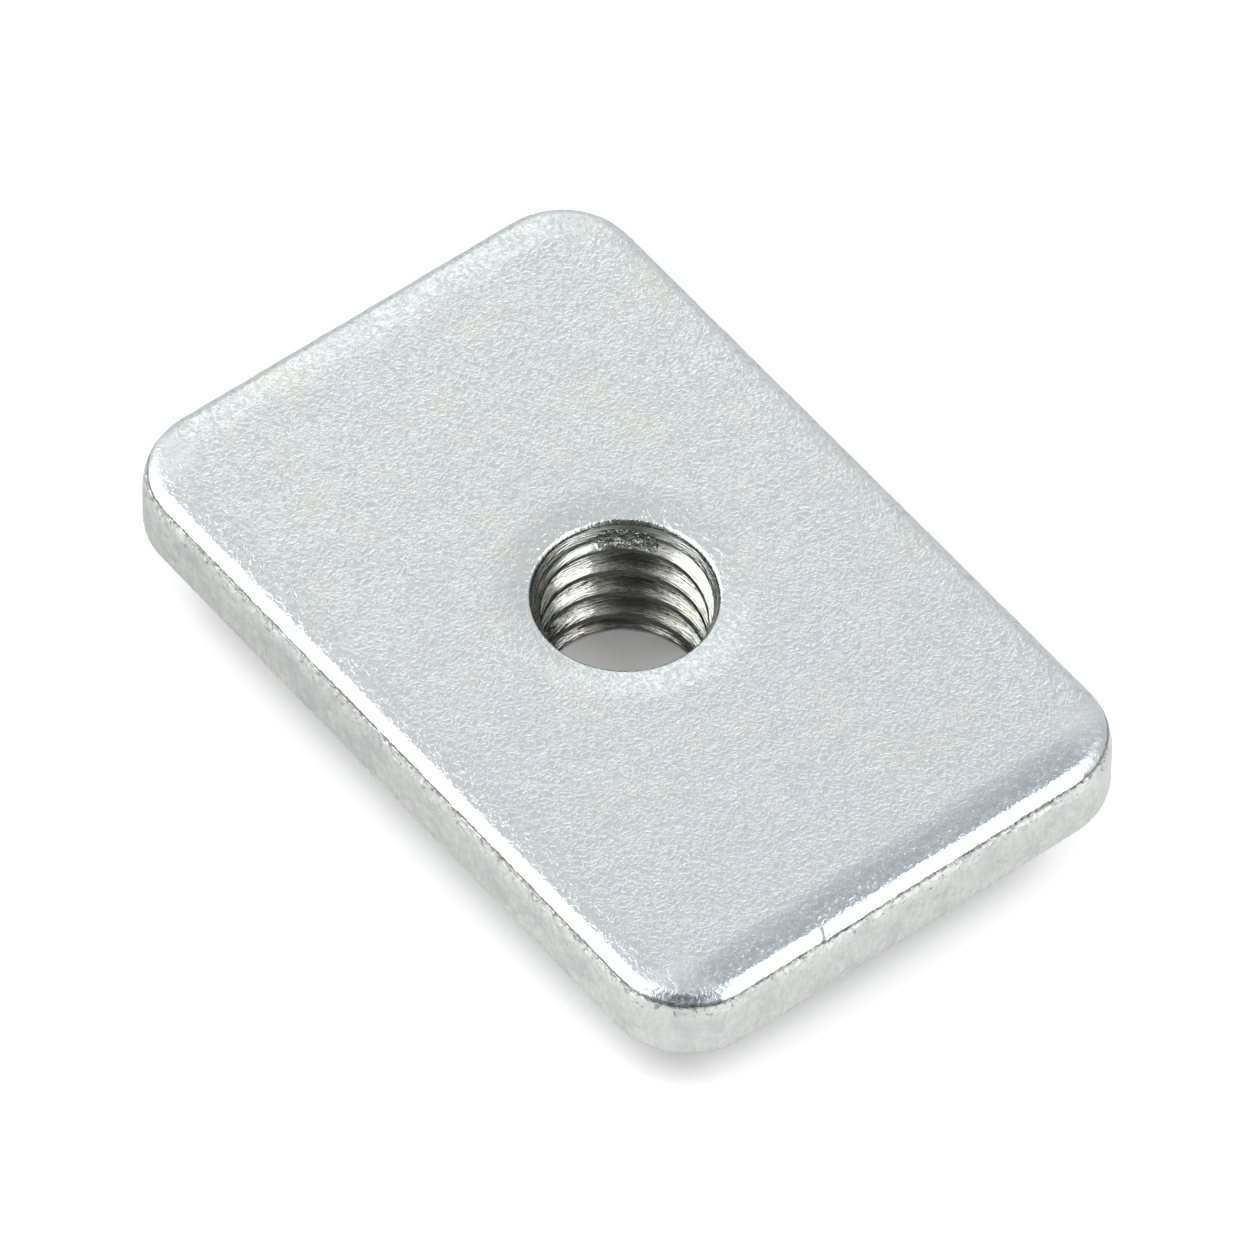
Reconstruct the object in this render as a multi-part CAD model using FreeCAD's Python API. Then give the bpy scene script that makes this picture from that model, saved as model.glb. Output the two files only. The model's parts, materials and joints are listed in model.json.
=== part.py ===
import FreeCAD
import Part

import math
import os

# Slot nut: a plate pressed from strip steel, with a drawn and tapped collar in its middle.
# Millimetres. The collar's end stands on Z = 0, the hole is on the Z axis, the long side is on X.

# Plate
plate_length = 36.5
plate_width = 23.8
plate_thickness = 3.57
corner_radius = 3.45

# Edge of the plate: the press pulls the top over and shears the rest to a wall
roll_width = 2.4
roll_depth = 0.8
roll_edge_radius = 0.7
roll_end_angle = 68.0
underside_break = 0.3

# Hole, at the crests of a 5/16-18 thread
bore_radius = 3.3
mouth_flare = 0.42
lip_radius = 0.22
lead_depth = 1.25

# Collar, drawn down out of the plate to give the thread its length
collar_drop = 3.1
collar_wall = 1.4
collar_draft_angle = 1.5
collar_root_fillet = 0.8
collar_end_break = 0.3
bore_end_break = 0.2

underside_z = collar_drop
top_z = underside_z + plate_thickness
wall_top_z = top_z - roll_depth
mouth_radius = bore_radius + mouth_flare
collar_end_radius = bore_radius + collar_wall


def at(x, z):
    """A point of a section, which is drawn in the XZ plane."""
    return FreeCAD.Vector(x, 0, z)


def line(start, end):
    return Part.LineSegment(start, end).toShape()


def arc(start, middle, end):
    return Part.Arc(start, middle, end).toShape()


def round_corner(centre, radius, start_angle, end_angle):
    """An arc of a section about its centre, with its angles in degrees from +X towards +Z."""
    points = []
    for angle in (start_angle, (start_angle + end_angle) / 2, end_angle):
        turn = math.radians(angle)
        points.append(centre + at(radius * math.cos(turn), radius * math.sin(turn)))
    return arc(*points)


def rim_section():
    """The plate's edge from the underside to the flat top, with the outline at X = corner_radius.

    The roll is two tangent arcs: a tight one up from the shear line, and a wide one into the flat.
    """
    outline = corner_radius
    shear_line = at(outline, wall_top_z)
    break_centre = at(outline - underside_break, underside_z + underside_break)
    steep = math.radians(roll_end_angle)
    tight_centre = shear_line - at(math.sin(steep), math.cos(steep)) * roll_edge_radius
    reach = tight_centre.x - (outline - roll_width)
    fall = top_z - tight_centre.z
    wide_radius = (reach**2 + fall**2 - roll_edge_radius**2) / (2 * (fall - roll_edge_radius))
    wide_centre = at(outline - roll_width, top_z - wide_radius)
    meeting_angle = math.degrees(math.acos(reach / (wide_radius - roll_edge_radius)))
    return [
        round_corner(break_centre, underside_break, -90, 0),
        line(at(outline, underside_z + underside_break), shear_line),
        round_corner(tight_centre, roll_edge_radius, 90 - roll_end_angle, meeting_angle),
        round_corner(wide_centre, wide_radius, meeting_angle, 90),
    ]


def hole_section():
    """The hole and its collar, from the flat top down the bore and back up to the underside."""
    lip_centre = at(mouth_radius + lip_radius, top_z - lip_radius)
    lead_end = at(bore_radius, top_z - lead_depth)
    bore_end = at(bore_radius, bore_end_break)
    draft = math.radians(collar_draft_angle)
    fillet_z = underside_z - collar_root_fillet
    fillet_x = (collar_end_radius + (fillet_z - collar_end_break) * math.tan(draft)
                + collar_root_fillet / math.cos(draft))
    fillet = round_corner(at(fillet_x, fillet_z), collar_root_fillet, 180 - collar_draft_angle, 90)
    return [
        round_corner(lip_centre, lip_radius, 90, 180),
        line(at(mouth_radius, top_z - lip_radius), lead_end),
        line(lead_end, bore_end),
        line(bore_end, at(bore_radius + bore_end_break, 0)),
        line(at(bore_radius + bore_end_break, 0), at(collar_end_radius - collar_end_break, 0)),
        line(at(collar_end_radius - collar_end_break, 0), at(collar_end_radius, collar_end_break)),
        line(at(collar_end_radius, collar_end_break), fillet.Vertexes[0].Point),
        fillet,
    ]


def corner_centres():
    """The centres of the outline's corners, anticlockwise from +X +Y."""
    x = plate_length / 2 - corner_radius
    y = plate_width / 2 - corner_radius
    return [FreeCAD.Vector(x, y, 0), FreeCAD.Vector(-x, y, 0),
            FreeCAD.Vector(-x, -y, 0), FreeCAD.Vector(x, -y, 0)]


def rim_faces():
    """The edge section, drawn along each side and turned round each corner."""
    up = FreeCAD.Vector(0, 0, 1)
    centres = corner_centres()
    faces = []
    for number, centre in enumerate(centres):
        start = centres[number - 1]
        for edge in rim_section():
            side_edge = edge.copy()
            side_edge.rotate(FreeCAD.Vector(), up, 90 * number)
            side_edge.translate(start)
            faces.append(side_edge.extrude(centre - start))
            corner_edge = edge.copy()
            corner_edge.rotate(FreeCAD.Vector(), up, 90 * number)
            corner_edge.translate(centre)
            faces.append(corner_edge.revolve(centre, up, 90))
    return faces


def hole_faces():
    """The hole's section, turned right round the Z axis."""
    return [edge.revolve(FreeCAD.Vector(), FreeCAD.Vector(0, 0, 1), 360) for edge in hole_section()]


def flat_face(inset, z, hole_radius):
    """A flat of the plate: the outline set in by inset, less the round that the hole takes."""
    radius = corner_radius - inset
    edges = []
    centres = corner_centres()
    for number, centre in enumerate(centres):
        ends = []
        for angle in (90 * number, 90 * number + 45, 90 * number + 90):
            turn = math.radians(angle)
            ends.append(centre + FreeCAD.Vector(radius * math.cos(turn), radius * math.sin(turn), z))
        edges.append(arc(*ends))
        following = centres[(number + 1) % len(centres)]
        edges.append(line(ends[2], following + ends[2] - centre))
    outline = Part.Face(Part.Wire(edges))
    hole = Part.Face(Part.Wire(Part.makeCircle(hole_radius, FreeCAD.Vector(0, 0, z))))
    return outline.cut(hole).Faces[0]


def slot_nut():
    """The nut as one closed solid, sewn from the faces that its sections make."""
    root_radius = hole_section()[-1].Vertexes[-1].Point.x
    faces = rim_faces() + hole_faces()
    faces.append(flat_face(roll_width, top_z, mouth_radius + lip_radius))
    faces.append(flat_face(underside_break, underside_z, root_radius))
    skin = Part.makeCompound(faces)
    skin.sewShape()
    solid = Part.Solid(skin.Shells[0])
    if solid.Volume < 0:
        solid.reverse()
    if not solid.isValid() or not solid.isClosed():
        raise ValueError("the nut is not one closed solid")
    return solid


os.makedirs("parts", exist_ok=True)
nut = slot_nut()
nut.exportStep("parts/slot_nut.step")
print("slot_nut", round(nut.Volume, 2), "mm3", nut.BoundBox)
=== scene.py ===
"""The looks of a zinc plated slot nut: its pressed edge, sheared wall and cut thread, and its stage."""
import json
import math

import bmesh
import bpy
from mathutils import Matrix, Vector, noise


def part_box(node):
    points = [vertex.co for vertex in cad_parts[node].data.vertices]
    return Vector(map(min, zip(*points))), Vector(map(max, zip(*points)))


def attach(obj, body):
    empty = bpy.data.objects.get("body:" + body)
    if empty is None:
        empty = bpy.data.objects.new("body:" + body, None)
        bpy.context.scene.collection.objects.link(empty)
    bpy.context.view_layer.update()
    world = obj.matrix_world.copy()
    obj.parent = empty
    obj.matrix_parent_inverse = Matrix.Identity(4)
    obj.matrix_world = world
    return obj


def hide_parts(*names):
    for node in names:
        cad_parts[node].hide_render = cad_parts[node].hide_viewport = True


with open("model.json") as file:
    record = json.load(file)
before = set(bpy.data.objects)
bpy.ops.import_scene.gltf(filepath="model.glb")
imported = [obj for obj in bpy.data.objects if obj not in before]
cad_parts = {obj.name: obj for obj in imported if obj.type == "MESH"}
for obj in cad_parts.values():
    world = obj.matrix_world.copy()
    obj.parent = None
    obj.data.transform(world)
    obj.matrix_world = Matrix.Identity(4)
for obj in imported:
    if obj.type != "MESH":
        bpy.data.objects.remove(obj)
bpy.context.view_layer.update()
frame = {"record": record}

bl_info = {
    "name": "Slot nut looks",
    "version": (1, 0, 0),
    "blender": (4, 5, 0),
    "location": "View3D > Sidebar > Slot nut",
    "description": "Makes the pressed and tapped slot nut around its packed solid, with a stage",
    "category": "Mesh",
}

MM = 0.001
NODE = "slot_nut"
LOW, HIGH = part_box(NODE)
MOUNTS = {mount["name"]: mount for mount in frame["record"]["mounts"]}
TOP_Z = MOUNTS["clamp_face"]["pos_m"][2]
UNDERSIDE_Z = MOUNTS["underside"]["pos_m"][2]
BORE_RADIUS = MOUNTS["thread"]["dims"]["r_mm"] * MM

# The finishes, in the order of the nut's materials
PLATED, SHEARED, CUT, TORN = range(4)

# Points in one turn round the hole
TURN_STEPS = 360

# Lengths from the shear line that points get where none is measured: on the top, the underside and the
# collar, and in the hole, where a length below nought paints the mouth's rim with a dark line of painted
# shade
FAR = 10 * MM
INSIDE = -0.6 * MM

# The shear line's waves, each with its strength, its length and its seed
RAG_WAVES = ((0.5, 1.7 * MM, 3), (0.5, 0.5 * MM, 8), (0.45, 0.2 * MM, 5))
WALL_GRAIN = 0.35 * MM

# Half the angle between two flanks of the thread
FLANK_ANGLE = math.radians(30)

# The torn stretch, as shares of a pitch above the first crest
TEAR_LOW, TEAR_HIGH = 0.05, 0.68

# Where rows of points lie across half a pitch, from the groove's middle to the crest's
THREAD_PHASES = (0.0, 0.07, 0.105, 0.135, 0.17, 0.22, 0.28, 0.34, 0.39, 0.43, 0.465)

# Which way the darker and lighter parts of the studio lie
ABOVE_CAMERA = (0.478, -0.395, 0.784)
BESIDE_CAMERA = (0.68, -0.70, 0.20)
CEILING = (-0.10, 0.43, 0.90)
WALL_BEHIND = (-0.68, 0.43, 0.593)


def length(name, default, description):
    """A size in metres, with its default given in millimetres."""
    return bpy.props.FloatProperty(
        name=name, description=description, default=default * MM,
        unit="LENGTH", subtype="DISTANCE", precision=5)


def turn(name, default, description):
    """An angle, with its default given in degrees."""
    return bpy.props.FloatProperty(
        name=name, description=description, default=math.radians(default), subtype="ANGLE")


def colour(name, default, description):
    """A colour as linear red, green and blue."""
    return bpy.props.FloatVectorProperty(
        name=name, description=description, default=default, size=3, subtype="COLOR", min=0.0, max=1.0)


def amount(name, default, description):
    """A plain number."""
    return bpy.props.FloatProperty(name=name, description=description, default=default)


class SlotNutPlate(bpy.types.PropertyGroup):
    """Sizes of the pressed plate."""
    corner_radius: length("Corner radius", 3.55, "Radius of the outline's corners")
    roll_width: length("Roll width", 2.4, "How far the pulled-over edge reaches in from the outline")
    shear_depth: length("Shear depth", 0.55, "How far the shear line lies below the flat top")
    shear_inset: length("Shear inset", 0.2, "How far the shear line lies in from the outline")
    roll_edge_radius: length("Roll edge radius", 0.75, "The tight radius beside the shear line")
    roll_end_angle: turn("Roll end angle", 65.0, "How steep the roll is where it meets the wall")
    underside_break: length("Underside break", 0.42, "Rounding of the lower edge")
    spacing: length("Point spacing", 0.11, "Distance between the points along the outline")
    raggedness: length("Raggedness", 0.075, "How far the shear line wanders up and down")
    step_in: length("Step in", 0.06, "How far the wall steps in under the roll")
    nick_y: length("Nick place", -4.1, "Where the short end's roll has its nick, along Y")
    nick_depth: length("Nick depth", 0.07, "How far the roll is pressed down beside the nick")
    nick_reach: length("Nick reach", 5.0, "How far along the edge the pressed place fades out")
    crack_width: length("Crack width", 0.16, "Half the width of the crack at the nick")
    crack_depth: length("Crack depth", 0.06, "How deep that crack is in the roll")
    crack_drop: length("Crack drop", 0.07, "How far the shear line drops there")


class SlotNutHole(bpy.types.PropertyGroup):
    """Sizes of the mouth, the thread and the collar."""
    mouth_flare: length("Mouth flare", 0.42, "How much wider the mouth is than the bore")
    lip_radius: length("Lip radius", 0.22, "Rounding of the mouth's rim")
    lead_depth: length("Lead depth", 1.25, "Depth of the smooth lead above the full thread")
    dish_width: length("Dish width", 1.7, "How far the face sinks round the mouth")
    dish_depth: length("Dish depth", 0.18, "How deep it sinks at the rim")
    pitch: length("Pitch", 25.4 / 18, "Distance from one turn of the thread to the next")
    root_radius: length("Root radius", 3.97, "Radius at the bottom of the thread's grooves")
    crest_flat: length("Crest flat", 0.3, "Width of the thread's crests")
    crest_ease: length("Crest ease", 0.05, "Rounding of the thread's corners")
    first_crest_depth: length("First crest depth", 1.5, "Depth of the first crest at the back of the hole")
    crest_bearing: turn("Crest bearing", 140.4, "Where that depth is measured, round the axis from +X")
    fade_start: length("Fade start", 0.35, "Depth below the lip at which the thread starts to show")
    fade_length: length("Fade length", 0.55, "Depth over which the thread comes to its full form")
    torn_from: turn("Torn from", 114.0, "Start of the torn stretch of the first turn, round the axis")
    torn_to: turn("Torn to", 161.4, "End of the torn stretch, round the axis")
    run_out: length("Run out", 0.45, "Height over which the thread fades above the bore's end")
    torn_depth: length("Torn depth", 0.10, "How deep the torn stretch is")
    collar_wall: length("Collar wall", 1.4, "Thickness of the collar at its end")
    collar_draft: turn("Collar draft", 1.5, "Taper of the collar's outside")
    collar_root_fillet: length("Collar root fillet", 0.8, "Fillet between the collar and the underside")
    collar_end_break: length("Collar end break", 0.3, "Bevel of the collar's outer end")
    bore_end_break: length("Bore end break", 0.2, "Bevel of the bore's lower end")


class SlotNutFinish(bpy.types.PropertyGroup):
    """Colours of the plating, the sheared wall and the thread."""
    plating: colour("Plating", (0.735, 0.78, 0.782), "Colour of the bright zinc")
    plating_dull: colour("Dull plating", (0.57, 0.615, 0.63), "Colour of its duller grains")
    tint_cool: colour("Cool tint", (0.67, 0.70, 0.74), "Colour of its bluish clouds")
    tint_warm: colour("Warm tint", (0.74, 0.75, 0.69), "Colour of its yellowish clouds")
    wall: colour("Wall", (0.765, 0.795, 0.77), "Colour of the sheared wall")
    wall_grey: colour("Grey wall", (0.60, 0.635, 0.615), "Colour of the wall's greyer grain")
    wall_warm: colour("Wall stain", (0.70, 0.69, 0.64), "Colour of the wall's warm clouds")
    wall_speck: colour("Wall speck", (0.26, 0.25, 0.23), "Colour of the specks under the shear line")
    # Painted dark reflection: the darker band beside the highlight along the short end at +X
    band: colour("Band", (0.50, 0.55, 0.59), "Colour of the dull band along one short end")
    torn: colour("Torn", (0.31, 0.32, 0.31), "Colour of the torn stretch of the thread")
    # Painted shade: the dark in the shear line's crease, under the mouth's rim and along the wall's lower
    # edge
    line: colour("Line", (0.20, 0.20, 0.19), "Colour of the shear line and of the wall's lower edge")
    thread: colour("Thread", (0.42, 0.425, 0.405), "Colour of the cut thread")
    thread_dull: colour("Dull thread", (0.33, 0.34, 0.33), "Colour of the thread's darker stretches")
    lead: colour("Lead", (0.47, 0.48, 0.455), "Colour of the smooth lead above the thread")
    thread_stain: colour("Thread stain", (0.36, 0.35, 0.26), "Colour of the oil left in the thread")


class SlotNutStage(bpy.types.PropertyGroup):
    """Camera, lamps and floor."""
    azimuth: turn("Azimuth", 51.16, "Camera's direction round the nut, from -Y towards +X")
    elevation: turn("Elevation", 51.595, "Camera's height above the horizon")
    roll: turn("Roll", 1.024, "Camera's turn about its own line of sight")
    distance: length("Distance", 654.0, "Camera's distance from its target")
    target_x: length("Target X", -0.768, "The point that the camera looks at")
    target_y: length("Target Y", 0.760, "The point that the camera looks at")
    lens: amount("Lens", 473.3, "Focal length in millimetres, on a 36 mm sensor")
    floor: colour("Floor", (1.0, 1.0, 1.0), "Colour of the floor as the camera sees it")
    floor_mirrored: colour("Mirrored floor", (0.2, 0.2, 0.2), "Colour of the floor as the metal sees it")
    floor_glow: amount("Floor glow", 0.56, "Floor's light as the metal sees it, by the right end")
    floor_glow_left: amount("Floor glow left", 0.37, "Floor's light as the metal sees it, by the left end")
    softbox: amount("Softboxes", 2.6, "Radiance of the two softboxes")
    tent: amount("Tent", 1.25, "Radiance of the studio on the floor")
    sky: amount("Sky", 0.80, "Radiance of the studio as the metal sees it")
    dark: amount("Dark", 0.05, "Radiance of the dark patch above the camera")
    back: amount("Back", 0.66, "Radiance that the wall behind adds")
    lamp: amount("Floor lamps", 1.25, "Strength of the two lamps that light the floor")


def outline(plate):
    """Points round the plate, anticlockwise from above: (place, outward direction), evenly spaced."""
    half = Vector((HIGH[0], HIGH[1], 0)) - Vector((1, 1, 0)) * plate.corner_radius
    corners = [Vector((half.x, half.y, 0)), Vector((-half.x, half.y, 0)),
               Vector((-half.x, -half.y, 0)), Vector((half.x, -half.y, 0))]
    points = []
    for number, centre in enumerate(corners):
        start = corners[number - 1]
        facing = math.radians(90 * number)
        across = Vector((math.cos(facing), math.sin(facing), 0))
        side = (centre - start).length
        steps = round(side / plate.spacing)
        for step in range(steps):
            points.append((start.lerp(centre, step / steps) + across * plate.corner_radius, across))
        bend = plate.corner_radius * math.pi / 2
        steps = round(bend / plate.spacing)
        for step in range(steps):
            angle = facing + math.pi / 2 * step / steps
            out = Vector((math.cos(angle), math.sin(angle), 0))
            points.append((centre + out * plate.corner_radius, out))
    return points


def wander(place, size, seed):
    """Smooth noise from -1 to 1 whose waves are about size long."""
    return noise.noise(Vector(place) / size + Vector((seed, seed * 0.37, -seed)))


def smooth(value):
    """A share from 0 to 1 with soft ends."""
    share = min(1.0, max(0.0, value))
    return share * share * (3 - 2 * share)


def roll_rows(plate):
    """The roll's section from the shear line to the flat, in two tangent arcs: (inset, height, length)."""
    steep = plate.roll_end_angle
    tight = plate.roll_edge_radius
    centre_in = plate.shear_inset + tight * math.sin(steep)
    centre_z = TOP_Z - plate.shear_depth - tight * math.cos(steep)
    reach = plate.roll_width - centre_in
    fall = TOP_Z - centre_z
    wide = (reach**2 + fall**2 - tight**2) / (2 * (fall - tight))
    meeting = math.asin(reach / (wide - tight))
    rows = []
    tight_steps = 9
    for step in range(tight_steps + 1):
        angle = steep + (meeting - steep) * step / tight_steps
        rows.append((centre_in - tight * math.sin(angle), centre_z + tight * math.cos(angle),
                     tight * (steep - angle)))
    wide_steps = 8
    along = rows[-1][2]
    for step in range(1, wide_steps + 1):
        angle = meeting * (1 - step / wide_steps)
        rows.append((plate.roll_width - wide * math.sin(angle), TOP_Z - wide + wide * math.cos(angle),
                     along + wide * (meeting - angle)))
    return rows


def wall_rows(plate):
    """The wall's section from its lower edge to the shear line: (inset, height, length from the line).

    Below the line that length is under nought. The wall stands upright, and near the line it leans in, as
    the press drew the metal down.
    """
    lean = plate.roll_end_angle
    bulge = plate.shear_inset / (1 - math.sin(lean))
    line_z = TOP_Z - plate.shear_depth
    upright_top = line_z - bulge * math.cos(lean)
    low = UNDERSIDE_Z + plate.underside_break
    bulge_length = bulge * (math.pi / 2 - lean)
    rows = []
    upright_steps = 6
    for step in range(1, upright_steps + 1):
        z = low + (upright_top - low) * step / upright_steps
        rows.append((0.0, z, z - upright_top - bulge_length))
    bulge_steps = 6
    for step in range(1, bulge_steps):
        angle = math.pi / 2 + (lean - math.pi / 2) * step / bulge_steps
        rows.append((bulge * (1 - math.sin(angle)), upright_top + bulge * math.cos(angle),
                     bulge * (math.pi / 2 - angle) - bulge_length))
    return rows


class Skin:
    """A mesh in the making: points, their lengths from the shear line, faces and each face's finish."""

    def __init__(self):
        self.points = []
        self.from_line = []
        self.faces = []
        self.finishes = []

    def point(self, place, from_line=FAR):
        """Adds a point, with its length along the section from the shear line, inward positive."""
        self.points.append(tuple(place))
        self.from_line.append(from_line)
        return len(self.points) - 1

    def ring(self, places, from_line=FAR):
        """Adds a closed row of points and returns their numbers."""
        return [self.point(place, from_line) for place in places]

    def face(self, corners, finish):
        """Adds a face, less the corners that fall together."""
        kept = [corner for k, corner in enumerate(corners) if corner != corners[k - 1]]
        if len(set(kept)) > 2:
            self.faces.append(tuple(kept))
            self.finishes.append(finish)

    def band(self, first, second, finish):
        """Faces between two rings with as many points."""
        for k in range(len(first)):
            self.face((first[k - 1], first[k], second[k], second[k - 1]), finish)

    def web(self, outer, inner, finish):
        """Flat faces between two rings round the axis whose counts differ."""
        def bearing(number):
            place = self.points[number]
            return math.atan2(place[1], place[0]) % (2 * math.pi)

        rings = []
        for ring in (outer, inner):
            order = sorted(ring, key=bearing)
            turns = [bearing(number) for number in order]
            rings.append((order + order[:1], turns + [turns[0] + 2 * math.pi]))
        (outer_order, outer_turn), (inner_order, inner_turn) = rings
        i, j = 0, 0
        while i + 1 < len(outer_order) or j + 1 < len(inner_order):
            outer_left = i + 1 < len(outer_order)
            inner_left = j + 1 < len(inner_order)
            if outer_left and (not inner_left or outer_turn[i + 1] <= inner_turn[j + 1]):
                self.face((outer_order[i], outer_order[i + 1], inner_order[j]), finish)
                i += 1
            else:
                self.face((outer_order[i], inner_order[j + 1], inner_order[j]), finish)
                j += 1


def edge_wear(plate, place, out):
    """How far the shear line strays at a place, and the shares there of the nick's dent and of its crack.

    Only the short end at +X has the nick.
    """
    rag = plate.raggedness * sum(share * wander(place, size, seed) for share, size, seed in RAG_WAVES)
    if out.x <= 0.9:
        return rag, 0.0, 0.0
    past = place.y - plate.nick_y
    dent_start = 0.15 * MM
    dent = smooth(1 - past / plate.nick_reach) * smooth(past / dent_start + 0.5)
    crack = max(0.0, 1 - abs(past) / plate.crack_width)
    return rag - plate.crack_drop * crack, dent, crack


def pressed_rim(skin, plate):
    """The plate's edge, from the underside's flat up the wall and over the roll. Returns its end rings."""
    worn = [(place, out, edge_wear(plate, place, out)) for place, out in outline(plate)]
    line_z = TOP_Z - plate.shear_depth
    dent_rise, dent_fall, crack_reach = 0.25 * MM, 1.1 * MM, 0.8 * MM

    def row(inset, height, from_line, rag_share=0.0, rough=0.0, seed=1):
        """One row round the plate: inset from the outline, strayed by the rag and roughened inward."""
        dent_share = smooth((inset - plate.shear_inset) / dent_rise) * smooth(1.6 - inset / dent_fall)
        crack_share = smooth(1 - inset / crack_reach) if height > line_z else 0.0
        places = []
        for place, out, (rag, dent, crack) in worn:
            z = height + rag * rag_share
            z -= plate.nick_depth * dent * dent_share + plate.crack_depth * crack * crack_share
            pull = rough * (0.5 + 0.5 * wander((place.x, place.y, z), WALL_GRAIN, seed))
            point = place - out * (inset + pull)
            places.append((point.x, point.y, z))
        return skin.ring(places, from_line)

    wall = wall_rows(plate)
    low_length = wall[0][2]
    rings = [row(plate.underside_break + 0.4 * MM, UNDERSIDE_Z, 2 * low_length)]
    break_steps = 5
    for step in range(break_steps + 1):
        angle = math.pi / 2 * step / break_steps
        inset = plate.underside_break * (1 - math.sin(angle))
        height = UNDERSIDE_Z + plate.underside_break * (1 - math.cos(angle))
        rings.append(row(inset, height, low_length - plate.underside_break * (math.pi / 2 - angle)))
    rag_reach, wall_rough = 1.2 * MM, 0.014 * MM
    for inset, height, from_line in wall:
        share = max(0.0, 1 + from_line / rag_reach)
        rings.append(row(inset, height, from_line, share, wall_rough * (0.4 + share)))
    # The wall steps in just under the roll, which leaves the dark gap that is seen as the shear line
    step_height, lean_out = 0.05 * MM, 0.03 * MM
    rings.append(row(plate.shear_inset - lean_out, line_z - 1.5 * step_height, -1.6 * step_height,
                     1.0, 0.01 * MM))
    rings.append(row(plate.shear_inset + plate.step_in, line_z - 0.7 * step_height, -0.7 * step_height,
                     1.0, 0.02 * MM))
    wall_count = len(rings)
    roll_rough = 0.012 * MM
    for number, (inset, height, from_line) in enumerate(roll_rows(plate)):
        share = max(0.0, 1 - number / 5)
        rings.append(row(inset, height, from_line, share, roll_rough * share, 4))
    rings.append(row(plate.roll_width + 0.25 * MM, TOP_Z, plate.roll_width + 0.5 * MM))
    plated_rows = 2
    for number in range(len(rings) - 1):
        sheared = plated_rows <= number < wall_count - 1
        skin.band(rings[number], rings[number + 1], SHEARED if sheared else PLATED)
    return rings[0], rings[-1]


def eased(value, ease):
    """The value where it is above nought, and nought below, with a rounded corner."""
    return 0.5 * (value + math.sqrt(value * value + ease * ease))


def thread_radius(hole, drop):
    """Radius of the cut thread at a distance below a crest's middle."""
    off = abs((drop / hole.pitch + 0.5) % 1.0 - 0.5) * hole.pitch
    slope = math.tan(FLANK_ANGLE)
    rise = eased(off - hole.crest_flat / 2, hole.crest_ease) / slope
    rise -= eased(-hole.crest_flat / 2, hole.crest_ease) / slope
    depth = hole.root_radius - BORE_RADIUS
    return hole.root_radius - eased(depth - rise, hole.crest_ease)


def bore_section(hole, z):
    """Radius of the hole before it was tapped."""
    lead_end = TOP_Z - hole.lead_depth
    lip_end = TOP_Z - hole.lip_radius - hole.dish_depth
    if z >= lead_end:
        return BORE_RADIUS + hole.mouth_flare * min(1.0, (z - lead_end) / (lip_end - lead_end))
    return BORE_RADIUS + max(0.0, hole.bore_end_break - z)


def torn_share(hole, bearing, z, below_crest):
    """How much of the tear there is at a place on the hole's wall, from 0 to 1.

    It comes up slowly from its start, and ends sharply on a curve.
    """
    along = (bearing - hole.torn_from) / (hole.torn_to - hole.torn_from)
    above = -below_crest / hole.pitch
    first_turn_end = TOP_Z - 1.9 * MM
    if not (0 < along < 1 and TEAR_LOW < above < TEAR_HIGH and z > first_turn_end):
        return 0.0
    across = smooth((above - TEAR_LOW) / 0.08) * smooth((TEAR_HIGH - above) / 0.16)
    end = 1 - 0.9 * (above - 0.3)**2
    return across * smooth(along / 0.4) * smooth((end - along) / 0.04)


def tapped_radius(hole, bearing, z, below_crest):
    """Radius of the tapped hole's wall, with the torn stretch of its first turn."""
    high = TOP_Z - hole.lip_radius - hole.dish_depth
    plain = bore_section(hole, z)
    cut = thread_radius(hole, below_crest)
    share = smooth((high - hole.fade_start - z) / hole.fade_length)
    share *= smooth((z - hole.bore_end_break) / hole.run_out)
    radius = plain + max(0.0, cut - plain) * share
    torn = torn_share(hole, bearing, z, below_crest)
    if torn > 0:
        place = (radius * bearing, z * 2, 0)
        rough = 0.55 + 0.7 * wander(place, 0.13 * MM, 11) + 0.4 * wander(place, 0.3 * MM, 2)
        radius += hole.torn_depth * rough * torn
    return radius


def circle(radius, z):
    """A row of points round the hole's axis, anticlockwise from above."""
    places = []
    for k in range(TURN_STEPS):
        angle = 2 * math.pi * k / TURN_STEPS
        places.append((radius * math.cos(angle), radius * math.sin(angle), z))
    return places


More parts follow.
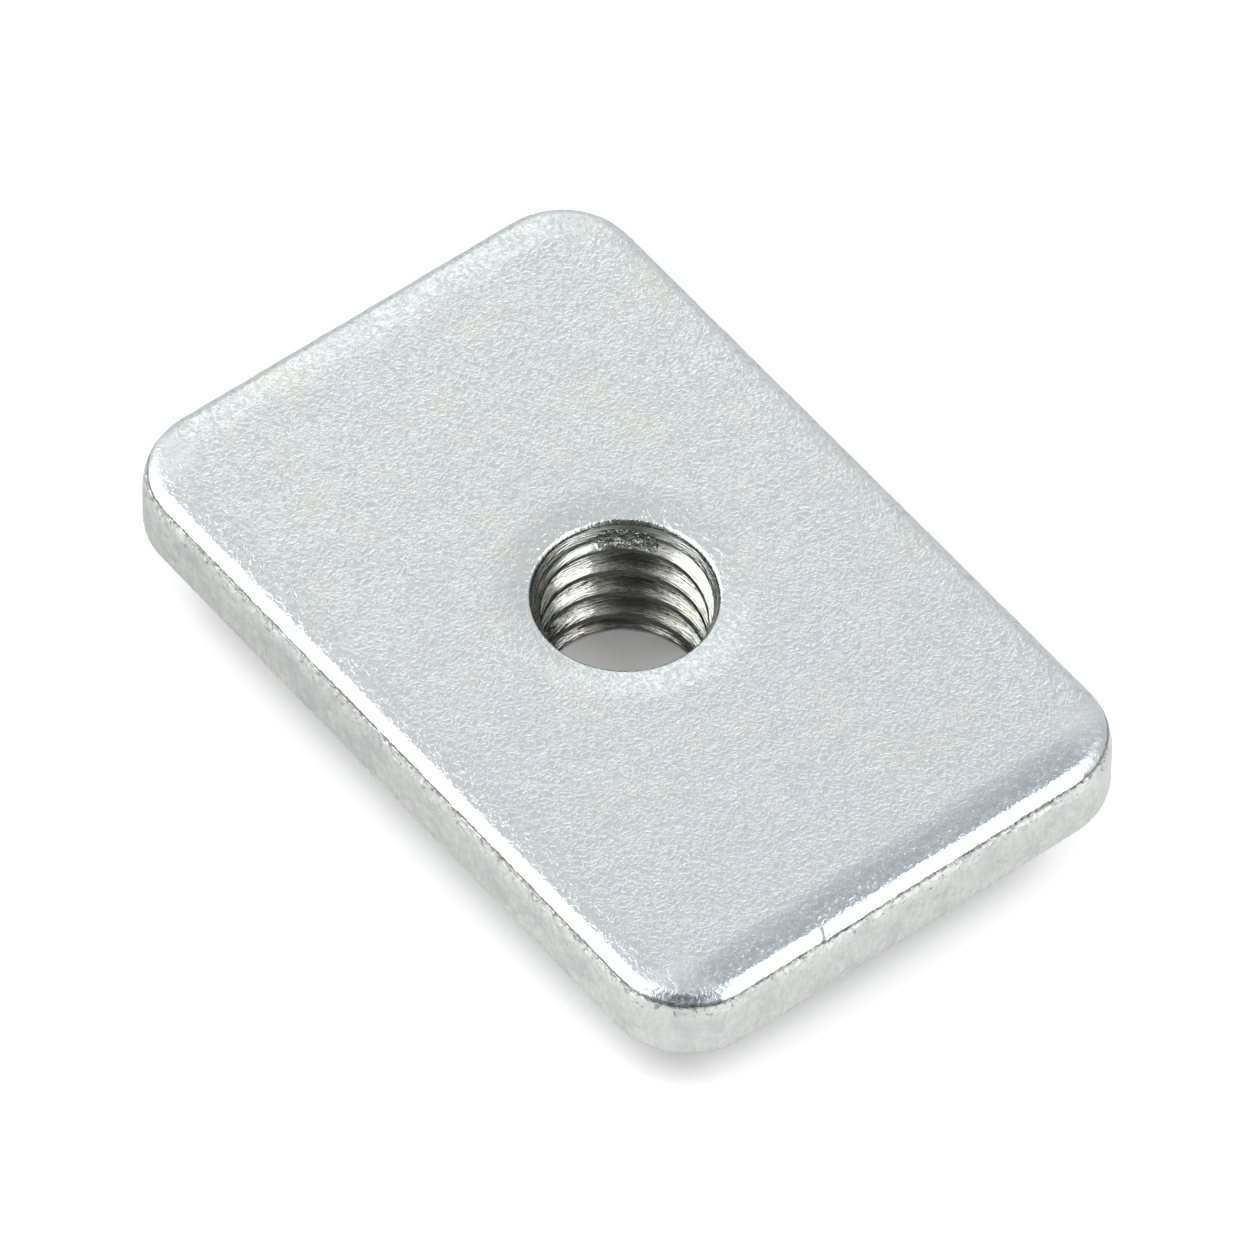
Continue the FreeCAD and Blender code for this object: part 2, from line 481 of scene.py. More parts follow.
def tapped_wall(skin, hole):
    """The wall of the hole, in rows that climb with the thread. Returns its end rings."""
    high = TOP_Z - hole.lip_radius - hole.dish_depth
    snap = 0.02 * MM
    phases = list(THREAD_PHASES) + [0.5] + [1 - phase for phase in THREAD_PHASES[:0:-1]]
    drops = []
    for number in range(-3, math.ceil(high / hole.pitch) + 2):
        drops.extend((number - 0.5 + phase) * hole.pitch for phase in phases)

    def first_crest(bearing):
        """Height of the first crest, which climbs with the turn."""
        return TOP_Z - hole.first_crest_depth + hole.pitch * (bearing - hole.crest_bearing) / (2 * math.pi)

    def wall_point(bearing, z):
        """Adds a point of the wall."""
        radius = tapped_radius(hole, bearing, z, first_crest(bearing) - z)
        return skin.point((radius * math.cos(bearing), radius * math.sin(bearing), z), INSIDE)

    columns = []
    mouth_ring = []
    end_ring = []
    for k in range(TURN_STEPS):
        bearing = 2 * math.pi * k / TURN_STEPS
        mouth_ring.append(wall_point(bearing, high))
        end_ring.append(wall_point(bearing, 0.0))
        column = []
        for drop in drops:
            z = first_crest(bearing) - drop
            if z > high - snap:
                column.append(mouth_ring[k])
            elif z < snap:
                column.append(end_ring[k])
            else:
                column.append(wall_point(bearing, z))
        columns.append(column)
    # The rows climb one pitch in a turn, so the last column joins the first one shifted by a pitch of rows
    wrapped = [mouth_ring[0]] * len(phases) + columns[0]
    for k in range(TURN_STEPS):
        this = columns[k]
        following = columns[k + 1] if k + 1 < TURN_STEPS else wrapped
        bearing = 2 * math.pi * (k + 0.5) / TURN_STEPS
        for j in range(len(drops) - 1):
            middle = 0.5 * (drops[j] + drops[j + 1])
            torn = torn_share(hole, bearing, first_crest(bearing) - middle, middle) > 0.25
            skin.face((this[j], this[j + 1], following[j + 1], following[j]), TORN if torn else CUT)
    return mouth_ring, end_ring


def mouth(skin, hole, mouth_ring):
    """The mouth's rounded lip and the shallow dish that the press left round it. Returns its outer ring."""
    lip_in = BORE_RADIUS + hole.mouth_flare
    rings = [mouth_ring]
    lip_steps = 6
    for step in range(1, lip_steps + 1):
        angle = math.pi / 2 * step / lip_steps
        radius = lip_in + hole.lip_radius * (1 - math.cos(angle))
        z = TOP_Z - hole.dish_depth - hole.lip_radius * (1 - math.sin(angle))
        rings.append(skin.ring(circle(radius, z)))
    dish_steps = 12
    for step in range(1, dish_steps + 1):
        share = step / dish_steps
        radius = lip_in + hole.lip_radius + hole.dish_width * share
        rings.append(skin.ring(circle(radius, TOP_Z - hole.dish_depth * (1 - share)**2)))
    for inner, outer in zip(rings, rings[1:]):
        skin.band(inner, outer, PLATED)
    return rings[-1]


def collar(skin, hole, end_ring):
    """The drawn collar, from the bore's end out and up to the underside. Returns its last ring."""
    end_outer = BORE_RADIUS + hole.collar_wall
    draft = hole.collar_draft
    fillet = hole.collar_root_fillet
    fillet_z = UNDERSIDE_Z - fillet
    fillet_x = end_outer + (fillet_z - hole.collar_end_break) * math.tan(draft) + fillet / math.cos(draft)
    section = [(end_outer - hole.collar_end_break, 0.0), (end_outer, hole.collar_end_break)]
    fillet_steps = 8
    for step in range(fillet_steps + 1):
        angle = math.pi - draft - (math.pi / 2 - draft) * step / fillet_steps
        section.append((fillet_x + fillet * math.cos(angle), fillet_z + fillet * math.sin(angle)))
    section.append((fillet_x + 0.3 * MM, UNDERSIDE_Z))
    rings = [end_ring] + [skin.ring(circle(radius, z)) for radius, z in section]
    for inner, outer in zip(rings, rings[1:]):
        skin.band(inner, outer, PLATED)
    return rings[-1]


def slot_nut_skin(plate, hole):
    """The whole nut as one closed skin."""
    skin = Skin()
    rim_under, rim_top = pressed_rim(skin, plate)
    mouth_ring, end_ring = tapped_wall(skin, hole)
    skin.web(rim_top, mouth(skin, hole, mouth_ring), PLATED)
    skin.web(rim_under, collar(skin, hole, end_ring), PLATED)
    return skin


def made_object(name, skin, materials):
    """A mesh object from a skin, with its faces turned outward and its hard corners kept."""
    mesh = bpy.data.meshes.new(name)
    mesh.from_pydata(skin.points, [], skin.faces)
    for material in materials:
        mesh.materials.append(material)
    mesh.polygons.foreach_set("material_index", skin.finishes)
    mesh.attributes.new("from_line", "FLOAT", "POINT").data.foreach_set("value", skin.from_line)
    work = bmesh.new()
    work.from_mesh(mesh)
    bmesh.ops.delete(work, geom=[vert for vert in work.verts if not vert.link_faces], context="VERTS")
    bmesh.ops.recalc_face_normals(work, faces=work.faces)
    if any(not edge.is_manifold for edge in work.edges):
        raise RuntimeError(name + " isn't closed")
    work.to_mesh(mesh)
    work.free()
    mesh.shade_smooth()
    mesh.set_sharp_from_angle(angle=math.radians(35))
    body = bpy.data.objects.new(name, mesh)
    bpy.context.scene.collection.objects.link(body)
    return body


def put(tree, kind, values=(), **settings):
    """A node with its settings and its inputs, each a value or another node's output."""
    made = tree.nodes.new(kind)
    for key, value in settings.items():
        setattr(made, key, value)
    for key, value in dict(values).items():
        if isinstance(value, bpy.types.NodeSocket):
            tree.links.new(value, made.inputs[key])
        else:
            made.inputs[key].default_value = value
    return made


def sum_of(tree, operation, *values):
    """A Math node's result."""
    return put(tree, "ShaderNodeMath", dict(enumerate(values)), operation=operation).outputs[0]


def vector_of(tree, operation, *values):
    """A Vector Math node's vector."""
    return put(tree, "ShaderNodeVectorMath", dict(enumerate(values)), operation=operation).outputs[0]


def scaled_vector(tree, vector, scale):
    """A vector times a number."""
    return put(tree, "ShaderNodeVectorMath", {0: vector, "Scale": scale}, operation="SCALE").outputs[0]


def scaled_by_size(tree, vector, size):
    """The place divided by a size, so that one wave of a noise is about that long."""
    return scaled_vector(tree, vector, sum_of(tree, "DIVIDE", 1.0, size))


def noise_of(tree, vector, scale=1.0, detail=2.0, roughness=0.5, **more):
    """A noise texture's height."""
    values = {"Vector": vector, "Scale": scale, "Detail": detail, "Roughness": roughness}
    return put(tree, "ShaderNodeTexNoise", {**values, **more}).outputs[0]


def bump_of(tree, height, distance, normal=None):
    """A normal bent by a height, whose full step is distance metres high."""
    values = {"Height": height, "Distance": distance}
    if normal is not None:
        values["Normal"] = normal
    return put(tree, "ShaderNodeBump", values).outputs[0]


def remap(tree, value, low, high, to_low=0.0, to_high=1.0):
    """A value carried from one range to another, with soft ends."""
    made = put(tree, "ShaderNodeMapRange", {
        "Value": value, "From Min": low, "From Max": high, "To Min": to_low, "To Max": to_high},
        interpolation_type="SMOOTHSTEP")
    return made.outputs["Result"]


def rgba(value):
    """A colour with its alpha."""
    return (*value, 1)


def blend_values(tree, share, first, second):
    """A mix of two numbers."""
    return put(tree, "ShaderNodeMix", {0: share, 2: first, 3: second}, data_type="FLOAT").outputs[0]


def blend_colours(tree, share, first, second):
    """A mix of two colours, each an RGB value or a socket."""
    values = {0: share}
    for number, value in ((6, first), (7, second)):
        values[number] = value if isinstance(value, bpy.types.NodeSocket) else rgba(value)
    return put(tree, "ShaderNodeMix", values, data_type="RGBA").outputs[2]


def new_group(name, inputs, outputs):
    """A shader node group with named sockets, each given as its kind and, for an input, its default."""
    group = bpy.data.node_groups.new(name, "ShaderNodeTree")
    for label, kind, default in inputs:
        made = group.interface.new_socket(name=label, in_out="INPUT", socket_type="NodeSocket" + kind)
        if default is not None:
            made.default_value = default
    for label, kind in outputs:
        group.interface.new_socket(name=label, in_out="OUTPUT", socket_type="NodeSocket" + kind)
    way_in = group.nodes.new("NodeGroupInput").outputs
    way_out = group.nodes.new("NodeGroupOutput").inputs
    return group, way_in, way_out


def place_group(tree, group, values):
    """A group placed in a tree with its own values. Returns its outputs."""
    return put(tree, "ShaderNodeGroup", values, node_tree=group).outputs


def wisps_group():
    """Fine curved flecks, such as crystals of plating and small scratches make."""
    group, way_in, way_out = new_group(
        "wisps",
        [("Vector", "Vector", None), ("Size", "Float", 0.0003), ("Swirl", "Float", 1.2)],
        [("Height", "Float"), ("Flecks", "Float")])
    place = scaled_by_size(group, way_in["Vector"], way_in["Size"])
    swirl = put(group, "ShaderNodeTexNoise", {"Vector": place, "Scale": 0.55, "Detail": 1.0}).outputs["Color"]
    bent = scaled_vector(group, vector_of(group, "SUBTRACT", swirl, (0.5, 0.5, 0.5)), way_in["Swirl"])
    warped = vector_of(group, "ADD", place, bent)
    ridges = put(group, "ShaderNodeTexNoise", {
        "Vector": warped, "Scale": 0.9, "Detail": 2.0, "Roughness": 0.55, "Offset": 0.9, "Gain": 1.6},
        noise_type="RIDGED_MULTIFRACTAL", normalize=True).outputs[0]
    grain = noise_of(group, warped, scale=1.7, detail=3.0, roughness=0.62)
    height = sum_of(group, "MULTIPLY_ADD", ridges, 0.5, sum_of(group, "MULTIPLY", grain, 0.9))
    group.links.new(height, way_out["Height"])
    group.links.new(remap(group, height, 0.45, 0.95), way_out["Flecks"])
    return group


def clouds_group():
    """Soft patches of two tints over a base colour."""
    group, way_in, way_out = new_group(
        "tint_clouds",
        [("Vector", "Vector", None), ("Size", "Float", 0.0015), ("Base", "Color", None),
         ("First tint", "Color", None), ("Second tint", "Color", None), ("Amount", "Float", 0.5)],
        [("Color", "Color")])
    place = scaled_by_size(group, way_in["Vector"], way_in["Size"])
    moved = vector_of(group, "ADD", place, (17.3, -4.1, 9.7))
    first = noise_of(group, place, scale=0.8, detail=3.0, roughness=0.6)
    second = noise_of(group, moved, scale=0.65, detail=3.0, roughness=0.6)
    first_share = sum_of(group, "MULTIPLY", remap(group, first, 0.48, 0.66), way_in["Amount"])
    second_share = sum_of(group, "MULTIPLY", remap(group, second, 0.50, 0.68), way_in["Amount"])
    tinted = blend_colours(group, first_share, way_in["Base"], way_in["First tint"])
    group.links.new(blend_colours(group, second_share, tinted, way_in["Second tint"]), way_out["Color"])
    return group


def specks_group():
    """Small irregular specks, few or many."""
    group, way_in, way_out = new_group(
        "specks",
        [("Vector", "Vector", None), ("Size", "Float", 0.0002), ("Cover", "Float", 0.1)],
        [("Mask", "Float")])
    place = scaled_by_size(group, way_in["Vector"], way_in["Size"])
    grain = noise_of(group, place, scale=0.8, detail=3.0, roughness=0.65, Distortion=0.6)
    level = sum_of(group, "SUBTRACT", 0.78, sum_of(group, "MULTIPLY", way_in["Cover"], 0.5))
    group.links.new(remap(group, sum_of(group, "SUBTRACT", grain, level), 0.0, 0.07), way_out["Mask"])
    return group


def material_tree(name):
    """A material with its tree, its shader and the place on the object in metres."""
    material = bpy.data.materials.new(name)
    material.use_nodes = True
    tree = material.node_tree
    place = put(tree, "ShaderNodeTexCoord").outputs["Object"]
    shader = tree.nodes["Principled BSDF"]
    shader.inputs["Metallic"].default_value = 1.0
    return material, tree, shader, place


def ragged_line(tree, place):
    """The length from the shear line, in metres, made uneven by a fine noise."""
    read = put(tree, "ShaderNodeAttribute", attribute_name="from_line", attribute_type="GEOMETRY")
    grain = noise_of(tree, scaled_by_size(tree, place, 0.00025), detail=3.0, roughness=0.6)
    unevenness = 0.22 * MM
    return sum_of(tree, "MULTIPLY_ADD", sum_of(tree, "SUBTRACT", grain, 0.5), unevenness, read.outputs["Fac"])


def corner_mask(tree, along):
    """One on the plate's corners, where the roll is scuffed, and nought elsewhere."""
    sides = []
    for axis, end in (("X", HIGH[0]), ("Y", HIGH[1])):
        out = sum_of(tree, "ABSOLUTE", along[axis])
        sides.append(remap(tree, out, end - 3.4 * MM, end - 2.2 * MM))
    return sum_of(tree, "MULTIPLY", *sides)


def painted_shade_lines(tree, height, from_line, corners, rim_z):
    """The painted shade in the shear line's crease, thicker on the corners as a painted dark reflection, and
    the painted shade under the rim of the mouth.

    Neither has a lower end, so they also darken the collar and parts of the underside.
    """
    rim_shade = remap(tree, height, rim_z - 0.08 * MM, rim_z - 0.02 * MM, 0.85, 0.0)
    by_hole = remap(tree, from_line, 4.0 * MM, 6.0 * MM)
    from_edge = sum_of(tree, "MULTIPLY_ADD", corners, -0.06 * MM, from_line)
    crease_shade = remap(tree, from_edge, 0.02 * MM, 0.08 * MM, 0.85, 0.0)
    return sum_of(tree, "MAXIMUM", crease_shade, sum_of(tree, "MULTIPLY", rim_shade, by_hole))


def plated_material(finish, groups, rim_z):
    """Bright zinc: a satin ground of fine curved flecks, with faint cool and warm clouds.

    It is burnished along the shear line. Beside that, a band along one short end is darkened as a painted
    dark reflection, and painted shade darkens the plate a little towards that end.
    """
    material, tree, shader, place = material_tree("bright_zinc")
    along = put(tree, "ShaderNodeSeparateXYZ", {0: place}).outputs
    from_line = ragged_line(tree, place)
    corners = corner_mask(tree, along)
    wisps = place_group(tree, groups["wisps"], {"Vector": place, "Size": 0.00023, "Swirl": 1.8})
    ground = blend_colours(tree, wisps["Flecks"], tuple(finish.plating_dull), tuple(finish.plating))
    clouded = place_group(tree, groups["clouds"], {
        "Vector": place, "Size": 0.0016, "Base": ground, "First tint": rgba(finish.tint_cool),
        "Second tint": rgba(finish.tint_warm), "Amount": 0.45})["Color"]
    # Painted dark reflection in a band inside the roll at +X, and painted shade rising across the plate
    # towards +X
    painted_reflection = remap(tree, along["X"], HIGH[0] - 2.8 * MM, HIGH[0] - 1.2 * MM, 0.0, 0.95)
    shaded = remap(tree, along["X"], LOW[0], HIGH[0], 0.0, 0.16)
    banded = blend_colours(tree, sum_of(tree, "MAXIMUM", painted_reflection, shaded), clouded, tuple(finish.band))
    # Painted shade in the shear line's crease, thicker on the corners as a painted dark reflection, and under
    # the mouth's rim
    line_shade = painted_shade_lines(tree, along["Z"], from_line, corners, rim_z)
    tree.links.new(blend_colours(tree, line_shade, banded, tuple(finish.line)), shader.inputs["Base Color"])
    satin_share = sum_of(tree, "MAXIMUM", remap(tree, from_line, 0.45 * MM, 0.8 * MM), corners)
    satin = remap(tree, wisps["Height"], 0.55, 0.90, 0.32, 0.14)
    burnished = 0.10
    roughness = blend_values(tree, satin_share, burnished, satin)
    scuffs = sum_of(tree, "MULTIPLY", corners, 0.16)
    tree.links.new(sum_of(tree, "ADD", roughness, scuffs), shader.inputs["Roughness"])
    swell = bump_of(tree, noise_of(tree, scaled_by_size(tree, place, 0.0022)), 0.00004)
    relief_share = sum_of(tree, "MAXIMUM", remap(tree, from_line, 0.35 * MM, 0.85 * MM, 0.25, 1.0), corners)
    relief = sum_of(tree, "MULTIPLY", wisps["Height"], relief_share)
    tree.links.new(bump_of(tree, relief, 0.000017, swell), shader.inputs["Normal"])
    return material


def sheared_material(finish, groups):
    """The sheared wall: pale, cloudy, with faint upright scores and dark specks under the shear line, and
    painted shade in the crease under that line and along its lower edge.
    """
    material, tree, shader, place = material_tree("sheared_wall")
    clouded = place_group(tree, groups["clouds"], {
        "Vector": place, "Size": 0.0011, "Base": rgba(finish.wall), "First tint": rgba(finish.plating_dull),
        "Second tint": rgba(finish.wall_warm), "Amount": 0.6})["Color"]
    upright = vector_of(tree, "MULTIPLY", place, (1.0, 1.0, 0.4))
    mottle = noise_of(tree, scaled_by_size(tree, upright, 0.0002), detail=4.0, roughness=0.75)
    mottle_share = remap(tree, mottle, 0.42, 0.66, 0.0, 0.60)
    mottled = blend_colours(tree, mottle_share, clouded, tuple(finish.wall_grey))
    from_line = ragged_line(tree, place)
    near_line = remap(tree, from_line, -1.5 * MM, 0.0, 0.06, 0.46)
    specks = place_group(tree, groups["specks"], {"Vector": place, "Size": 0.00022, "Cover": near_line})
    speck_share = sum_of(tree, "MULTIPLY", specks["Mask"], 0.7)
    specked = blend_colours(tree, speck_share, mottled, tuple(finish.wall_speck))
    # Painted shade in the crease just under the shear line
    line = remap(tree, from_line, -0.15 * MM, -0.05 * MM, 0.0, 0.9)
    crease_shaded = blend_colours(tree, line, specked, tuple(finish.line))
    height = put(tree, "ShaderNodeSeparateXYZ", {0: place}).outputs["Z"]
    # Painted shade along the wall's lower edge
    low_edge_shade = remap(tree, height, UNDERSIDE_Z + 0.12 * MM, UNDERSIDE_Z + 0.34 * MM, 0.55, 0.0)
    tree.links.new(blend_colours(tree, low_edge_shade, crease_shaded, tuple(finish.line)), shader.inputs["Base Color"])
    scores = place_group(tree, groups["wisps"], {"Vector": upright, "Size": 0.00035, "Swirl": 0.4})["Height"]
    grain = place_group(tree, groups["wisps"], {"Vector": place, "Size": 0.0005, "Swirl": 1.0})["Height"]
    tree.links.new(remap(tree, grain, 0.4, 1.0, 0.48, 0.34), shader.inputs["Roughness"])
    scored = bump_of(tree, scores, 0.000022)
    tree.links.new(bump_of(tree, grain, 0.00003, scored), shader.inputs["Normal"])
    return material


def cut_material(finish, groups):
    """The cut thread: bright, scored along the turns, with a little oil in it, below a satin lead."""
    material, tree, shader, place = material_tree("cut_thread")
    clouded = place_group(tree, groups["clouds"], {
        "Vector": place, "Size": 0.0013, "Base": rgba(finish.thread), "First tint": rgba(finish.thread_stain),
        "Second tint": rgba(finish.thread_dull), "Amount": 0.7})["Color"]
    along = put(tree, "ShaderNodeSeparateXYZ", {0: place}).outputs
    lead = remap(tree, along["Z"], TOP_Z - 1.3 * MM, TOP_Z - 1.0 * MM)
    tree.links.new(blend_colours(tree, lead, clouded, tuple(finish.lead)), shader.inputs["Base Color"])
    flat = vector_of(tree, "MULTIPLY", place, (1.0, 1.0, 0.0))
    radius = put(tree, "ShaderNodeVectorMath", {0: flat}, operation="LENGTH").outputs["Value"]
    across = sum_of(tree, "MULTIPLY", sum_of(tree, "ADD", along["Z"], radius), 9.0)
    turned = put(tree, "ShaderNodeCombineXYZ", {"X": along["X"], "Y": along["Y"], "Z": across}).outputs[0]
    scores = place_group(tree, groups["wisps"], {"Vector": turned, "Size": 0.0011, "Swirl": 0.5})["Height"]
    bright = remap(tree, scores, 0.4, 1.0, 0.15, 0.07)
    tree.links.new(sum_of(tree, "MULTIPLY_ADD", lead, 0.18, bright), shader.inputs["Roughness"])
    tree.links.new(bump_of(tree, scores, 0.000016), shader.inputs["Normal"])
    return material


def torn_material(finish, groups):
    """The tear in the first turn: grey and rough, with dark specks and bright points."""
    material, tree, shader, place = material_tree("torn_thread")
    # Dark specks and bright points lie at random over the tear
    dark_specks = place_group(tree, groups["specks"], {"Vector": place, "Size": 0.00022, "Cover": 0.42})["Mask"]
    moved = vector_of(tree, "ADD", place, (0.011, 0.007, 0.003))
    points = place_group(tree, groups["specks"], {"Vector": moved, "Size": 0.00016, "Cover": 0.42})["Mask"]
    dark_speck_share = sum_of(tree, "MULTIPLY", dark_specks, 0.85)
    dark_specked = blend_colours(tree, dark_speck_share, tuple(finish.torn), tuple(finish.wall_speck))
    tree.links.new(blend_colours(tree, points, dark_specked, tuple(finish.wall)), shader.inputs["Base Color"])
    shader.inputs["Roughness"].default_value = 0.26
    grain = place_group(tree, groups["wisps"], {"Vector": place, "Size": 0.0003, "Swirl": 1.0})["Height"]
    tree.links.new(bump_of(tree, grain, 0.00018), shader.inputs["Normal"])
    return material


class SLOTNUT_OT_nut(bpy.types.Operator):
    """Make the slot nut"""
    bl_idname = "slotnut.nut"
    bl_label = "Slot nut"

    def execute(self, context):
        scene = context.scene
        finish = scene.slotnut_finish
        hole = scene.slotnut_hole
        groups = {"wisps": wisps_group(), "clouds": clouds_group(), "specks": specks_group()}
        materials = [
            plated_material(finish, groups, TOP_Z - hole.dish_depth),
            sheared_material(finish, groups),
            cut_material(finish, groups),
            torn_material(finish, groups),
        ]
        skin = slot_nut_skin(scene.slotnut_plate, hole)
        nut = made_object("pressed_slot_nut", skin, materials)
        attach(nut, "root")
        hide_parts(NODE)
        return {"FINISHED"}


class SLOTNUT_OT_stage(bpy.types.Operator):
    """Make the floor, the lamps and the camera"""
    bl_idname = "slotnut.stage"
    bl_label = "Stage"

    def execute(self, context):
        scene = context.scene
        stage = scene.slotnut_stage
        scene.view_settings.view_transform = "Standard"
        make_floor(scene, stage)
        make_lamps(scene, stage)
        make_world(scene, stage)
        make_camera(scene, stage)
        return {"FINISHED"}


def make_floor(scene, stage):
    """A plain floor, white to the camera, and darker as the metal sees it; its glow to the metal is painted
    light, stronger towards the right end, and fades under the hole as a painted shadow of the nut.
    """
    half = 0.4
    corners = [(-half, -half, 0), (half, -half, 0), (half, half, 0), (-half, half, 0)]
    mesh = bpy.data.meshes.new("floor")
    mesh.from_pydata(corners, [], [(0, 1, 2, 3)])
    floor = bpy.data.objects.new("floor", mesh)
    scene.collection.objects.link(floor)
    material = bpy.data.materials.new("white_floor")
    material.use_nodes = True
    tree = material.node_tree
    shader = tree.nodes["Principled BSDF"]
    shader.inputs["Roughness"].default_value = 1.0
    shader.inputs["Specular IOR Level"].default_value = 0.0
    shader.inputs["Emission Color"].default_value = (1, 1, 1, 1)
    path = put(tree, "ShaderNodeLightPath").outputs
    seen = blend_colours(tree, path["Is Camera Ray"], tuple(stage.floor_mirrored), tuple(stage.floor))
    tree.links.new(seen, shader.inputs["Base Color"])
    place = put(tree, "ShaderNodeTexCoord").outputs["Object"]
    side = put(tree, "ShaderNodeSeparateXYZ", {0: place}).outputs["X"]
    # Painted light: the floor's glow to the metal, weaker towards the left end
    level = remap(tree, side, -22 * MM, 26 * MM, stage.floor_glow_left, stage.floor_glow)
    from_axis = put(tree, "ShaderNodeVectorMath", {0: place}, operation="LENGTH").outputs["Value"]
    # Painted shadow of the nut: the glow fades under the hole
    lit_share = remap(tree, from_axis, 3.0 * MM, 7.0 * MM, 0.12, 1.0)
    glow = sum_of(tree, "MULTIPLY", path["Is Glossy Ray"], sum_of(tree, "MULTIPLY", level, lit_share))
    tree.links.new(glow, shader.inputs["Emission Strength"])
    mesh.materials.append(material)


def facing_matrix(direction, away):
    """A place away from the nut in a direction, turned so that a lamp there faces the nut."""
    way = Vector(direction).normalized()
    return Matrix.Translation(way * away) @ way.to_track_quat("Z", "Y").to_matrix().to_4x4()


def softbox(scene, name, radiance, bearing, height, size, slide, lean):
    """A rectangular lamp that the metal mirrors, slid and turned in its own plane. Angles are in degrees."""
    away = 0.4
    lamp = bpy.data.lights.new(name, "AREA")
    lamp.shape = "RECTANGLE"
    lamp.size, lamp.size_y = size
    lamp.energy = radiance * math.pi * size[0] * size[1]
    bearing, height = math.radians(bearing), math.radians(height)
    direction = (math.cos(bearing) * math.cos(height), math.sin(bearing) * math.cos(height), math.sin(height))
    holder = bpy.data.objects.new(name, lamp)
    in_plane = Matrix.Translation((*slide, 0)) @ Matrix.Rotation(math.radians(lean), 4, "Z")
    holder.matrix_world = facing_matrix(direction, away) @ in_plane
    holder.visible_diffuse = False
    holder.visible_camera = False
    scene.collection.objects.link(holder)


def floor_lamp(scene, name, direction, strength, spread):
    """A distant lamp that gives the floor its light and the nut its shadow."""
    lamp = bpy.data.lights.new(name, "SUN")
    lamp.energy = strength
    lamp.angle = math.radians(spread)
    holder = bpy.data.objects.new(name, lamp)
    holder.matrix_world = facing_matrix(direction, 0.5)
    holder.visible_glossy = False
    scene.collection.objects.link(holder)


def make_lamps(scene, stage):
    """Two softboxes that light the metal, and two distant lamps that light the floor."""
    softbox(scene, "left_softbox", stage.softbox, bearing=-90.0, height=39.4,
            size=(1.0, 0.70), slide=(-0.52, -0.044), lean=0.0)
    softbox(scene, "right_softbox", stage.softbox, bearing=0.0, height=41.7,
            size=(0.292, 0.771), slide=(0.197, -0.057), lean=-12.0)
    floor_lamp(scene, "left_lamp", (-0.70, -0.445, 1.0), stage.lamp, spread=26)
    floor_lamp(scene, "right_lamp", (0.53, 0.70, 1.0), stage.lamp, spread=26)


def make_world(scene, stage):
    """A grey studio: darker above and beside the camera, lighter on the wall behind."""
    world = bpy.data.worlds.new("studio")
    scene.world = world
    world.use_nodes = True
    tree = world.node_tree
    background = tree.nodes["Background"]
    way = put(tree, "ShaderNodeTexCoord").outputs["Generated"]

    def towards(direction):
        """The cosine of the angle between the way looked and a direction."""
        middle = tuple(Vector(direction).normalized())
        cosine = put(tree, "ShaderNodeVectorMath", {0: way, 1: middle}, operation="DOT_PRODUCT")
        return cosine.outputs["Value"]

    above = remap(tree, towards(ABOVE_CAMERA), 0.84, 0.985, stage.sky, stage.dark)
    beside = remap(tree, towards(BESIDE_CAMERA), 0.90, 0.985, 1.0, 0.12)
    ceiling = remap(tree, towards(CEILING), 0.925, 0.985, 1.0, 0.88)
    behind = remap(tree, towards(WALL_BEHIND), 0.955, 0.997, 0.0, stage.back)
    total = sum_of(tree, "MULTIPLY_ADD", sum_of(tree, "MULTIPLY", above, ceiling), beside, behind)
    path = put(tree, "ShaderNodeLightPath").outputs
    plain = blend_values(tree, path["Is Camera Ray"], stage.tent, 1.0)
    seen = blend_values(tree, path["Is Glossy Ray"], plain, total)
    tree.links.new(seen, background.inputs["Strength"])
    background.inputs["Color"].default_value = (1, 1, 1, 1)


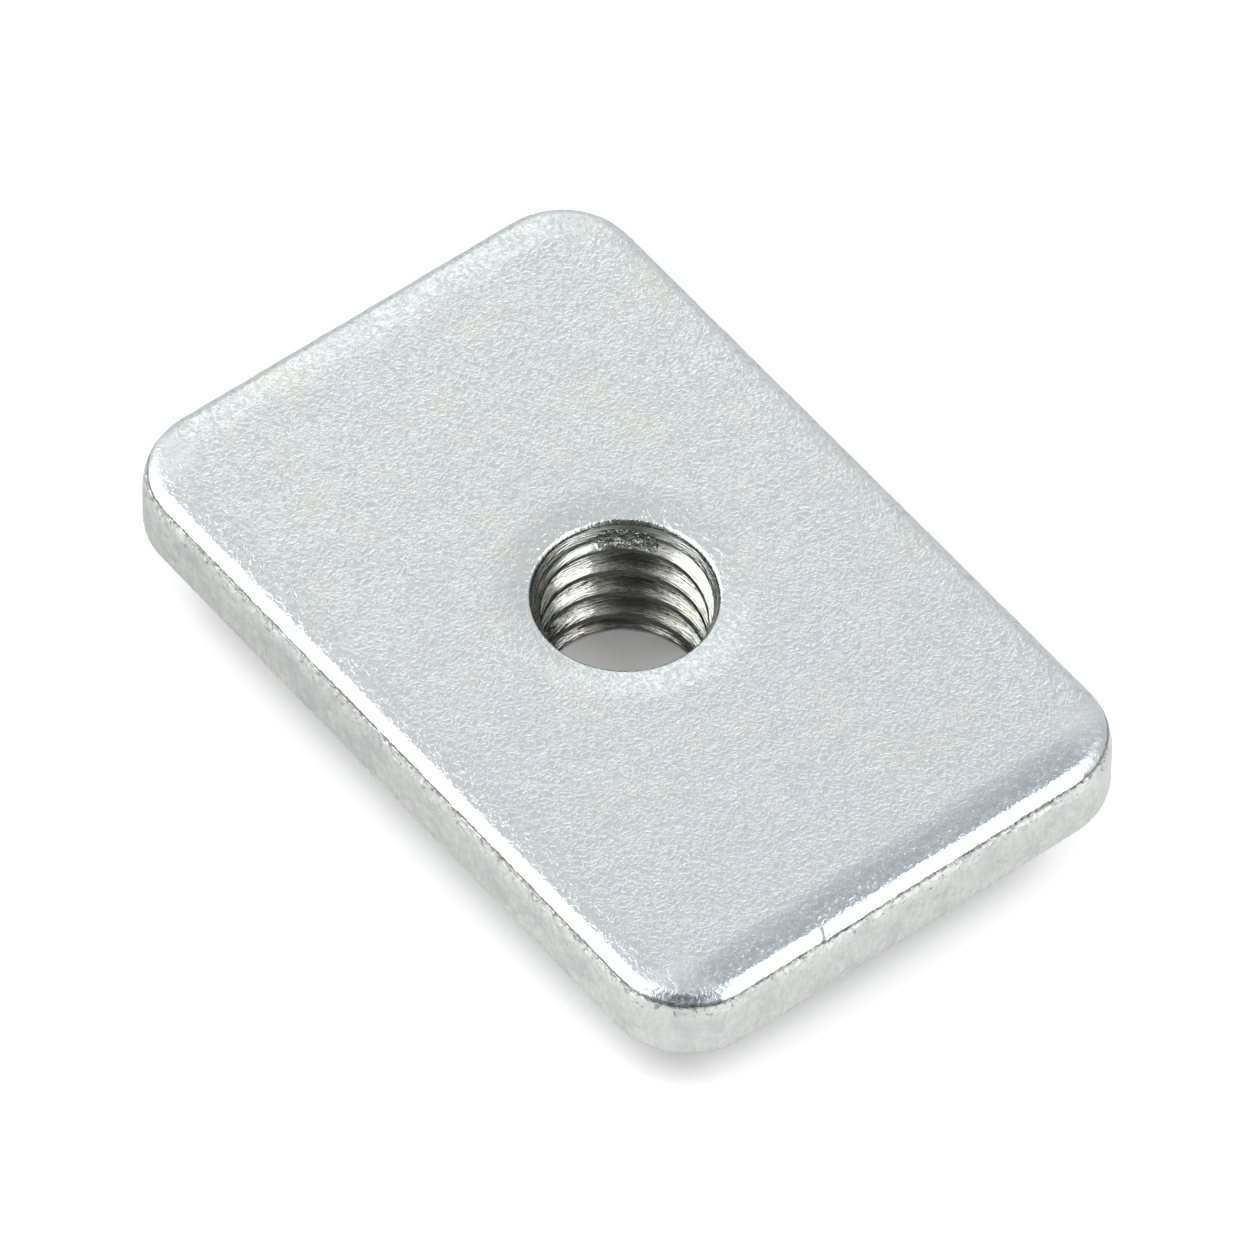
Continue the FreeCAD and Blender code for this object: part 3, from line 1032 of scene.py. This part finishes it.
def make_camera(scene, stage):
    """The camera at the photograph's angle."""
    az, el = stage.azimuth, stage.elevation
    back = Vector((math.sin(az) * math.cos(el), -math.cos(az) * math.cos(el), math.sin(el)))
    right = Vector((math.cos(az), math.sin(az), 0))
    up = back.cross(right)
    level = Matrix((right, up, back)).transposed()
    target = Vector((stage.target_x, stage.target_y, UNDERSIDE_Z))
    data = bpy.data.cameras.new("camera")
    data.lens = stage.lens
    data.sensor_width = 36.0
    data.clip_start = 0.01
    camera = bpy.data.objects.new("camera", data)
    turned = level @ Matrix.Rotation(stage.roll, 3, "Z")
    camera.matrix_world = Matrix.Translation(target + back * stage.distance) @ turned.to_4x4()
    scene.collection.objects.link(camera)
    scene.camera = camera


class SLOTNUT_PT_panel(bpy.types.Panel):
    """The nut's sizes, colours and stage"""
    bl_idname = "SLOTNUT_PT_panel"
    bl_label = "Slot nut"
    bl_space_type = "VIEW_3D"
    bl_region_type = "UI"
    bl_category = "Slot nut"

    def draw(self, context):
        scene = context.scene
        for name, kind in SETTINGS.items():
            for setting in kind.__annotations__:
                self.layout.prop(getattr(scene, name), setting)
        for operator in (SLOTNUT_OT_nut, SLOTNUT_OT_stage):
            self.layout.operator(operator.bl_idname)


SETTINGS = {
    "slotnut_plate": SlotNutPlate,
    "slotnut_hole": SlotNutHole,
    "slotnut_finish": SlotNutFinish,
    "slotnut_stage": SlotNutStage,
}
CLASSES = (*SETTINGS.values(), SLOTNUT_OT_nut, SLOTNUT_OT_stage, SLOTNUT_PT_panel)


def register():
    """Registers the classes and hangs the settings on the scene."""
    for kind in CLASSES:
        bpy.utils.register_class(kind)
    for name, kind in SETTINGS.items():
        setattr(bpy.types.Scene, name, bpy.props.PointerProperty(type=kind))


def unregister():
    """Takes back what register does."""
    for name in SETTINGS:
        delattr(bpy.types.Scene, name)
    for kind in reversed(CLASSES):
        bpy.utils.unregister_class(kind)


def main():
    """Makes the nut and its stage."""
    register()
    bpy.ops.slotnut.nut()
    bpy.ops.slotnut.stage()


if __name__ == "__main__":
    main()
